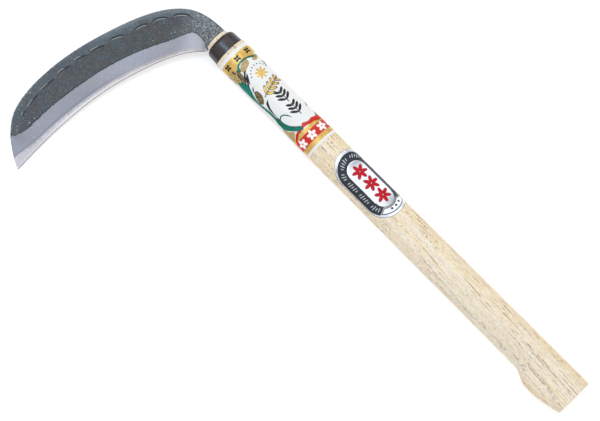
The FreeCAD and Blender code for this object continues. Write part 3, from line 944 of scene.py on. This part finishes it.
RED_RIBBONS = [
    [(298.6, -14.2), (298.2, -11.5), (299, -8.6), (298.4, -5.4), (299.6, -2.6), (300.4, -0.6), (298.6, 1.4),
     (297, 0.6), (296.6, -2.6), (295.4, -6), (295.2, -9.2), (293.8, -12), (293.6, -14.4)],
    [(297.4, 3.4), (298, 6.6), (297.4, 9.4), (295, 11.9), (293.4, 13.4), (292.8, 12.4), (294.8, 9.6),
     (296, 6.8), (296.2, 4.2)],
]
# Strokes as (x, y, half width). TEAL_UNDER is on the far side, with the distance round the handle for y.
INK_STROKES = [
    [(362.6, 0.6, 0.1), (361.6, 3.4, 0.55), (358.6, 6.2, 0.5), (354, 8.8, 0.1)],
    [(359.6, 3.2, 0.1), (357, 5.6, 0.5), (352, 8.4, 0.4), (349.6, 9.4, 0.1)],
    [(349.6, 5.9, 0.1), (347.4, 8, 0.45), (344.8, 9.4, 0.1)],
    [(333.6, 5.4, 0.1), (331.2, 7.8, 0.75), (327.4, 9.4, 0.65), (322, 9.9, 0.3), (314, 9.7, 0.1)],
    [(370.6, 9.9, 0.1), (368.2, 9.6, 0.6), (365.6, 9.2, 0.1)],
    [(360.2, 2.4, 0.2), (357.2, 4.4, 0.6), (352, 6.8, 0.2)],
    [(361, -12.6, 0.1), (358.4, -13.8, 0.5), (354.6, -12.9, 0.2)],
    [(345, -13.6, 0.1), (342.6, -12.2, 0.4)],
    [(313, -14.3, 0.1), (310.4, -13.6, 0.45), (307.6, -12.6, 0.1)],
]
TEAL_HOOK = [(309.8, 1.8, 0.12), (312.8, 2.9, 0.45), (315.4, 5, 0.5), (316.4, 7.4, 0.5), (315.2, 9.4, 0.6)]
TEAL_STREAK = [(301.5, -14.2, 0.4), (298.6, -13.4, 1.0), (296.6, -13.8, 0.6)]
TEAL_UNDER = [(362, -33, 0.5), (345, -37, 1.5), (326, -35, 1.0), (304, -38, 1.8), (298, -33, 0.5)]


def wrap_layers(x, arc):
    """Distances to the outlines of what is printed on the wrap. Its motifs are plain leaves and flowers."""
    p = np.stack([x, arc], -1)

    def spot(px, py):
        return (px, float(arc_of(px, py)))

    def area(points):
        return region(p, [spot(*point) for point in points])

    def line(path, plump=1.0):
        return stroke(p, [(*spot(px, py), width * plump) for px, py, width in path])

    sun = spot(*GOLD_FLOWER)
    gold_leaves = leaf_spray(p, *(spot(*end) for end in GOLD_STEM), leaves=4, length=6.6, width=2.4, spread=46)
    stems = [(spot(x0, SPRIG_Y), spot(x0 + SPRIG_LENGTH, SPRIG_Y)) for x0 in SPRIG_STARTS]
    sprigs = [leaf_spray(p, *stem, leaves=3, length=7.2, width=2.2, spread=50) for stem in stems]
    dots = [circle(p, sun + DOT_RING * step_at(turn), 0.6) for turn in np.radians(np.linspace(-72, 72, 9))]
    buds, corners, ribbons = (
        union(*(area(points) for points in areas)) for areas in (TAN_BUDS, TAN_CORNERS, RED_RIBBONS)
    )
    leaf, seed, wave, arch = (area(points) for points in (BROWN_LEAF, BROWN_SEED, TEAL_WAVE, TEAL_ARCH))
    hook = line(TEAL_HOOK)
    middles = [arc_of(374.0, -0.5) + ORNAMENT_GAP * i for i in range(-4, 5)]
    outlined = [(gold_leaves, 0.2), (wave, 0.16), (hook, 0.12), (arch, 0.16), (seed, 0.2), (leaf, 0.16),
                (buds, 0.12), (ribbons, 0.14)]
    gold = union(*(band(x, *ends) for ends in GOLD_BANDS), area(GOLD_FILL), gold_leaves,
                 blossom(p, sun, 5.6, 8, 10, 0.15), circle(p, sun, 1.1))
    ink = union(*(line(path, INK_PLUMPNESS) for path in INK_STROKES), *sprigs, *dots,
                *(abs(shape) - half_line for shape, half_line in outlined),
                *(blossom(p, (374.2, middle), 3.0, 4, 45, 0.33) for middle in middles))
    pale = union(*(blossom(p, (288.4, middle + 0.6), 4.4, 5, 17 * i) for i, middle in enumerate(middles)))
    return {
        "tan_mm": union(buds, corners),
        "gold_mm": gold,
        "brown_mm": union(leaf, seed),
        "teal_mm": union(wave, hook, arch, line(TEAL_STREAK), stroke(p, TEAL_UNDER)),
        "red_mm": union(band(x, *RED_BAND), ribbons),
        "ink_mm": ink,
        "pale_mm": pale,
        "seam_mm": band(arc, *GLUED_EDGE),
    }


def make_sheet(name, x, arc, lift, rims, layers, **settings):
    """A thin sheet on the handle. Its rows of places are closed loops, with a wall at each row in rims."""
    rows, columns = x.shape
    points = np.concatenate([on_handle(x, arc, height).reshape(-1, 3) for height in (lift, SHEET_BASE)])
    faces = grid_faces(rows, columns, 0, True) + grid_faces(rows, columns, rows * columns, True)
    for row in rims:
        loop = [row * columns + c for c in range(columns)]
        faces += walls(loop + loop[:1], rows * columns)
    layers = {layer: np.tile(values.ravel(), 2) for layer, values in layers.items()}
    return make_piece(name, points, faces, layers, **settings)


def make_wrap():
    stations = int((WRAP_END - WRAP_START) / WRAP_STEP) + 1
    around = int(2 * OVAL_ARC[-1] * HEAD_HALF_WIDTH / WRAP_STEP)
    along = np.linspace(WRAP_START, WRAP_END, stations)
    x, share = np.meshgrid(along, np.arange(around) / around, indexing="ij")
    arc = (share * 2 - 1) * OVAL_ARC[-1] * half_width(x)
    return make_sheet("printed_wrap", x, arc, WRAP_LIFT, (0, stations - 1), wrap_layers(x, arc))


# ---- the foil sticker

# Places are along the handle, and round it from the top towards +Y.
STICKER_CENTRE = np.array([229.2, -6.5])
STICKER_HALF_LENGTH = 32.8
STICKER_RADIUS = 18.7
STICKER_LIFT = 0.12
STICKER_RINGS = 40
STICKER_ROUND = 340
RING_CENTRE = np.array([228.7, -6.3])
RING_HALF_LENGTH, RING_RADIUS = 30.4, 17.3
RING_STROKES = 64
RING_GROUP = 6  # every so many strokes, one is left out
STROKE_SIZES = (1.0, 1.7, 1.1, 1.5, 0.8)
STROKE_LEAN = 0.3
STROKE_HALF_WIDTH = 0.34
STROKE_HALF_LENGTH, STROKE_RADIUS = 26.6, 13.2  # the line that the strokes stand on
RING_END = 207.0
PANEL_CENTRE = np.array([227.9, -5.6])
PANEL_HALF_LENGTH, PANEL_RADIUS = 22.4, 8.1
FLOWER_GAP = 12.8


def sticker_layers(p):
    """Distances to what is printed on the sticker: a dark ring with slanted strokes round three flowers."""
    panel = stadium(p, PANEL_CENTRE, PANEL_HALF_LENGTH, PANEL_RADIUS)
    outer = stadium(p, RING_CENTRE, RING_HALF_LENGTH, RING_RADIUS)
    rim = stadium(p, STICKER_CENTRE, STICKER_HALF_LENGTH, STICKER_RADIUS)
    ring = np.maximum(outer, 0.7 - panel)
    past_end = p[..., 0] - (RING_END - 3.0 * np.clip((p[..., 1] - 1.0) / 8.0, 0, 1))
    label = np.maximum(ring + 0.9, past_end + 0.7)
    line = union(abs(label) - 0.36, np.maximum(abs(panel - 0.45) - 0.3, p[..., 0] - 214), -0.22 - rim,
                 np.maximum(abs(outer - 0.8) - 0.2, 249.0 - p[..., 0]))
    straight = STROKE_HALF_LENGTH - STROKE_RADIUS
    strokes = []
    for i in range(RING_STROKES):
        if i % RING_GROUP == 0:
            continue
        x, y = stadium_point(i / RING_STROKES, STROKE_HALF_LENGTH, STROKE_RADIUS)
        outward = np.array([x - np.clip(x, -straight, straight), y]) / STROKE_RADIUS
        lean = STROKE_LEAN * np.array([outward[1], -outward[0]])
        half = STROKE_SIZES[i % RING_GROUP - 1] * (outward + lean)
        middle = RING_CENTRE + (x, y)
        strokes.append(stroke(p, [(*end, STROKE_HALF_WIDTH) for end in (middle - half, middle + half)]))
    flowers = [PANEL_CENTRE + (FLOWER_GAP * i, -0.4) for i in (1, 0, -1)]
    red = union(*(blossom(p, flower, 6.3, 6, 11 + 20 * i, 0.2) for i, flower in enumerate(flowers)),
                *(abs(circle(p, flower, 1.7)) - 0.35 for flower in flowers))
    dots = [RING_CENTRE + (-13.1 - 13.6 * math.cos(turn), 13.6 * math.sin(turn))
            for turn in np.radians((-24, -6, 12))]
    shaded = smoothstep(12.0, 22.0, abs(p[..., 0] - PANEL_CENTRE[0])) * smoothstep(2.0, -9.0, p[..., 1])
    return {
        "black_mm": np.maximum(ring, -past_end),
        "white_mm": union(panel, label),
        "line_mm": union(line, *(circle(p, dot, 0.95) for dot in dots)),
        "bead_mm": np.maximum(union(*strokes), 1.0 - past_end),
        "outline_mm": red - 0.25,
        "red_mm": red,
        "ink_mm": union(ring, panel, line),
        "shade": shaded * (panel < 0.5),
    }


def stadium_point(share, half_length, radius):
    """A point of a stadium's outline, at a share of the way round it."""
    straight = half_length - radius
    half_way = 2 * straight + math.pi * radius
    side, at = (1, share * 2 * half_way) if share < 0.5 else (-1, (share * 2 - 1) * half_way)
    if at < 2 * straight:
        return (side * (straight - at), side * radius)
    turn = math.pi / 2 + (at - 2 * straight) / radius
    return (side * (radius * math.cos(turn) - straight), side * radius * math.sin(turn))


def make_sticker():
    straight = STICKER_HALF_LENGTH - STICKER_RADIUS
    shares = np.arange(STICKER_ROUND) / STICKER_ROUND
    rim = np.array([stadium_point(share, STICKER_HALF_LENGTH, STICKER_RADIUS) for share in shares])
    spine = np.column_stack([np.clip(rim[:, 0], -straight, straight), 0 * rim[:, 1]])
    p = spine + (rim - spine) * np.linspace(0, 1, STICKER_RINGS)[:, None, None] + STICKER_CENTRE
    x, arc = p[..., 0], p[..., 1]
    rims = (STICKER_RINGS - 1,)
    return make_sheet("oval_sticker", x, arc, STICKER_LIFT, rims, sticker_layers(p), merge=True)


# ---- stage

CAMERA_LENS = 115.37
CAMERA_PLACE = (20.0, 50.0, 1500.0)
CAMERA_TARGET = (254.041, 48.792, 0.0)
CAMERA_ROLL = math.radians(-134.681)
FLOOR_REACH = 4.0  # metres from the middle
FLOOR_GAP = 0.1
LAMP_TARGET = Vector((0.3, 0.05, 0))
# A warm and a cool soft box, one on each side, and a small one in between: place, size, power and colour.
LAMPS = {
    "warm_box": ((0.6, -0.95, 1.3), 1.5, 3.0, (1.0, 0.97, 0.92)),
    "cool_box": ((0.4, 1.15, 1.3), 1.3, 1.2, (0.90, 0.95, 1.0)),
    "key": ((0.76, -0.05, 1.5), 0.3, 4.4, (0.55, 0.78, 1.0)),
}
HORIZON_LIGHT = 0.40
ZENITH_LIGHT = 1.08
SIDE_LIGHT = 0.24  # how much the dome loses towards +Y and gains towards -Y


def make_camera():
    """The camera looks down from above the butt, rolled so that the handle runs down to the right."""
    camera = bpy.data.cameras.new("camera")
    camera.sensor_width = 36.0
    camera.lens = CAMERA_LENS
    camera.clip_start = 0.05
    eye, target = Vector(CAMERA_PLACE) * MM, Vector(CAMERA_TARGET) * MM
    forward = (target - eye).normalized()
    right = forward.cross(Vector((0, 1, 0))).normalized()
    up = right.cross(forward)
    across = right * math.cos(CAMERA_ROLL) + up * math.sin(CAMERA_ROLL)
    upward = up * math.cos(CAMERA_ROLL) - right * math.sin(CAMERA_ROLL)
    rig = add_object("camera", camera)
    rig.matrix_world = Matrix.Translation(eye) @ Matrix((across, upward, -forward)).transposed().to_4x4()
    bpy.context.scene.camera = rig


def make_floor():
    """A pale floor. It leans a little, because the sickle rests on its handle and on the blade's tip."""
    mesh = bpy.data.meshes.new("floor")
    corners = [(x * FLOOR_REACH, y * FLOOR_REACH, 0) for x, y in ((-1, -1), (1, -1), (1, 1), (-1, 1))]
    mesh.from_pydata(corners, [], [(0, 1, 2, 3)])
    mesh.materials.append(floor_paint())
    floor = add_object("floor", mesh)
    lean = (BACK_Z * MM - cad_box[0][2]) / cad_box[1][1]
    wood = [vertex.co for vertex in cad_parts["handle"].data.vertices]
    floor.location.z = min(point.z - lean * point.y for point in wood) - FLOOR_GAP * MM
    floor.rotation_euler.x = math.atan(lean)


def make_lamp(name, place, size, power, colour):
    light = bpy.data.lights.new(name, "AREA")
    light.energy = power
    light.size = size
    light.color = colour
    lamp = add_object(name, light)
    lamp.location = place
    lamp.rotation_euler = (LAMP_TARGET - Vector(place)).to_track_quat("-Z", "Y").to_euler()


def make_dome():
    """A dome of light, brightest overhead."""
    world = bpy.data.worlds.new("studio")
    world.use_nodes = True
    dome = Nodes(world.node_tree)
    direction = {0: dome.node("TexCoord", {}, out="Generated")}
    side, height = (dome.node("SeparateXYZ", direction, out=axis) for axis in (1, 2))
    fall = {"Value": height, "To Min": HORIZON_LIGHT, "To Max": ZENITH_LIGHT}
    tilt = dome.node("Math", {0: side, 1: -SIDE_LIGHT, 2: 1.0}, operation="MULTIPLY_ADD")
    strength = dome.times(dome.node("MapRange", fall), tilt)
    dome.set(world.node_tree.nodes["Background"], {"Color": (0.98, 0.98, 1.0, 1), "Strength": strength})
    bpy.context.scene.world = world


def dress(node, material):
    """Gives a CAD node's own mesh a material."""
    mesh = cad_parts[node].data
    mesh.materials.clear()
    mesh.materials.append(material)


def place(piece, material, slot, *nodes):
    piece.data.materials.append(material)
    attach(piece, "root")
    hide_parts(*nodes)


make_camera()
make_floor()
for name, settings in LAMPS.items():
    make_lamp(name, *settings)
make_dome()
bpy.context.scene.view_settings.view_transform = "Standard"
wood = beech()
dress("handle", wood)
dress("slot_filler", wood)
dress("ferrule", dark_ferrule())
dress("tang_pin", ground_steel())
place(make_blade(), forged_iron(), "forged_iron", "blade_iron")
place(make_edge(), keen_steel(), "hard_steel", "edge_steel")
place(make_wrap(), printed_paper(), "printed_paper", "paper_wrap")
place(make_sticker(), printed_foil(), "silver_foil", "foil_sticker")
